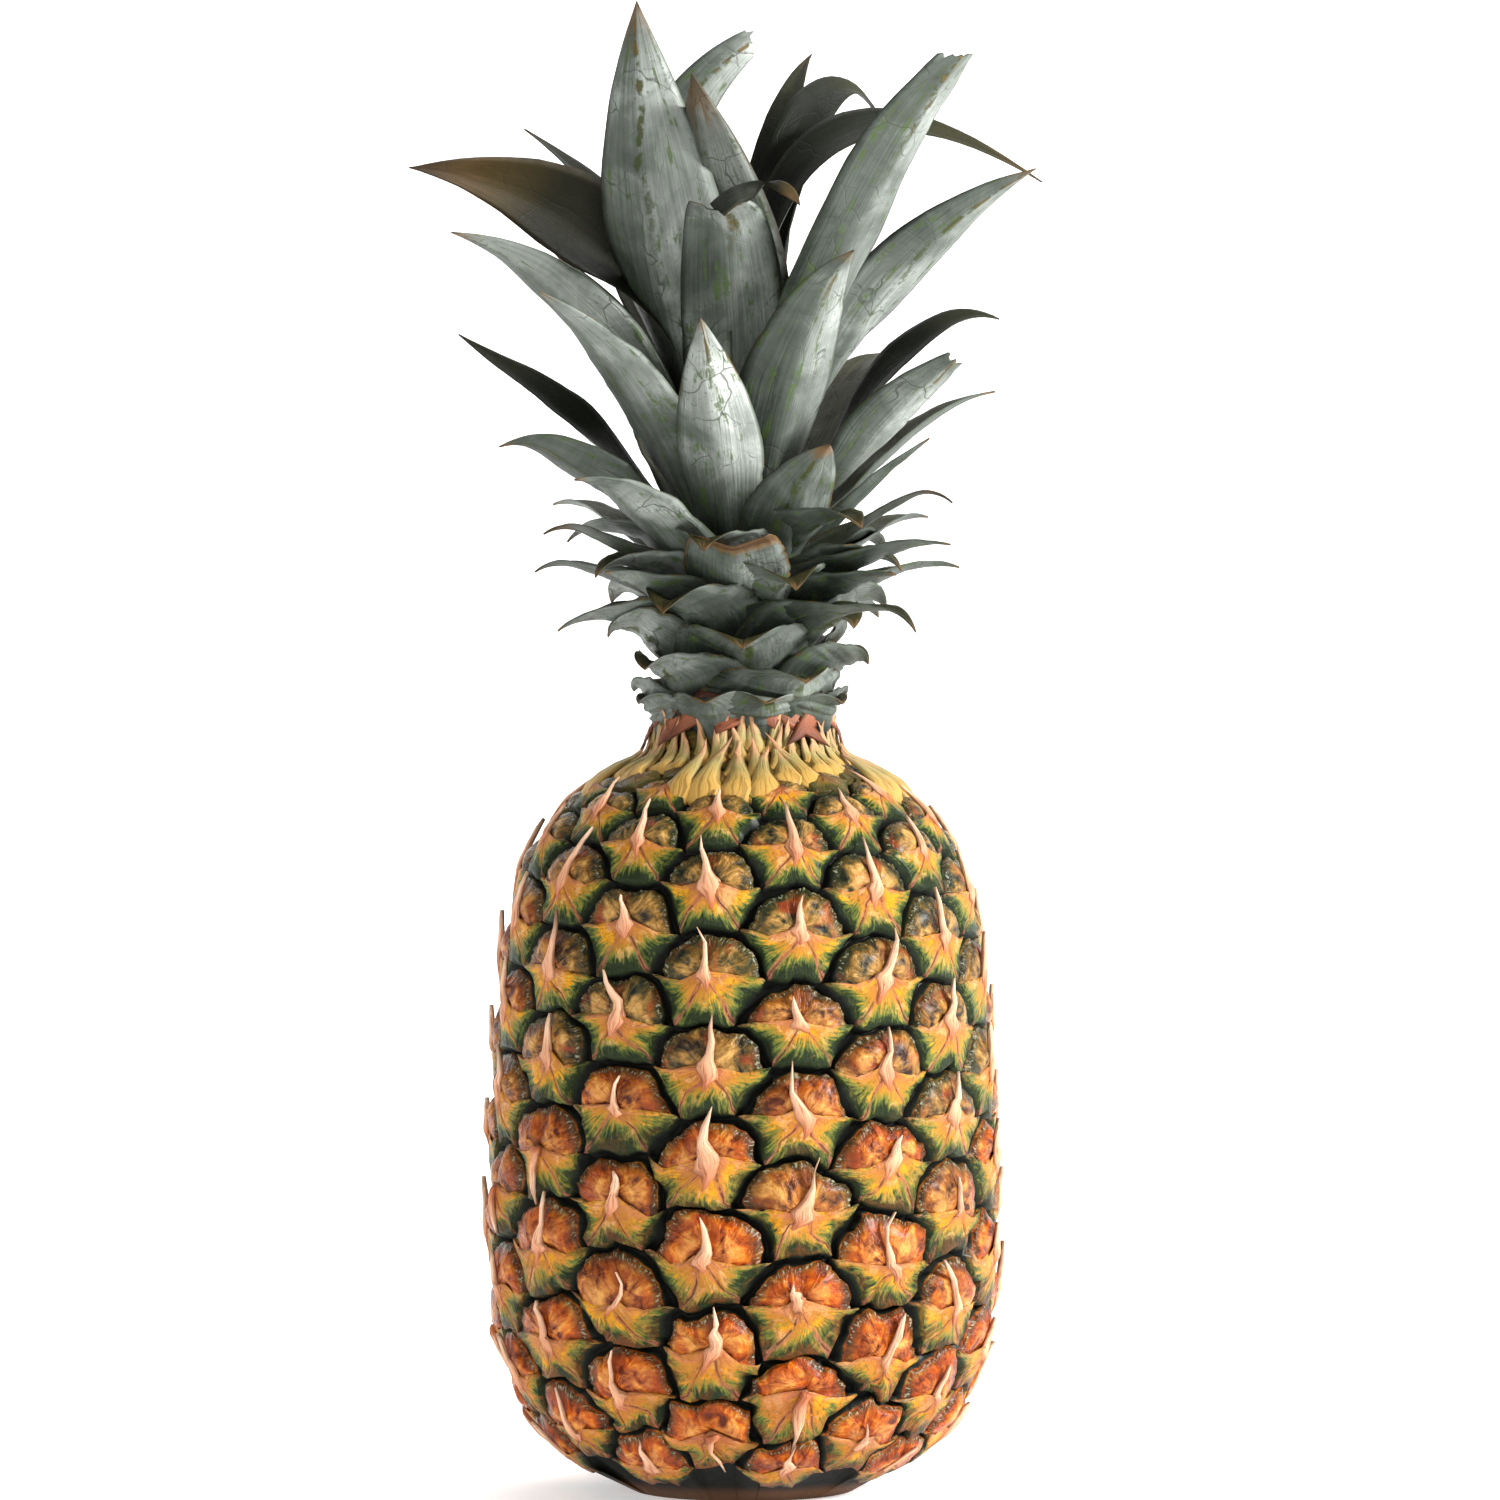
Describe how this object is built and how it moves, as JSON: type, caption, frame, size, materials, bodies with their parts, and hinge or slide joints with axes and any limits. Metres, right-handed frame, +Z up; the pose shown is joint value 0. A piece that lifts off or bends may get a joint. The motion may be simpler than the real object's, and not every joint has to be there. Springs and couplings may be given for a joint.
{
  "type": "pineapple",
  "caption": "Whole fresh pineapple with a spined, eyed skin, a cut stalk and a leafy crown; stands upright on its flat base.",
  "frame": {"origin": "middle of the flat spot at the base, on the cut stalk's face", "axes": "+Z up along the fruit's axis to the crown, -Y to the side that the picture shows"},
  "size_m": [0.1639, 0.1399, 0.376],
  "materials": {
    "skin": "waxy, half-gloss",
    "stalk": "dry cut fibre",
    "leaf": "waxy, silvery bloom"
  },
  "bodies": {
    "root": {"fruit": "skin", "cut_stalk": "stalk", "crown_heart": "leaf", "crown_leaf_01": "leaf", "crown_leaf_02": "leaf", "crown_leaf_03": "leaf", "crown_leaf_04": "leaf", "crown_leaf_05": "leaf", "crown_leaf_06": "leaf", "crown_leaf_07": "leaf", "crown_leaf_08": "leaf", "crown_leaf_09": "leaf", "crown_leaf_10": "leaf", "crown_leaf_11": "leaf", "crown_leaf_12": "leaf", "crown_leaf_13": "leaf", "crown_leaf_14": "leaf", "crown_leaf_15": "leaf", "crown_leaf_16": "leaf", "crown_leaf_17": "leaf", "crown_leaf_18": "leaf", "crown_leaf_19": "leaf", "crown_leaf_20": "leaf", "crown_leaf_21": "leaf", "crown_leaf_22": "leaf", "crown_leaf_23": "leaf", "crown_leaf_24": "leaf", "crown_leaf_25": "leaf", "crown_leaf_26": "leaf", "crown_leaf_27": "leaf", "crown_leaf_28": "leaf", "crown_leaf_29": "leaf", "crown_leaf_30": "leaf"}
  },
  "joints": []
}
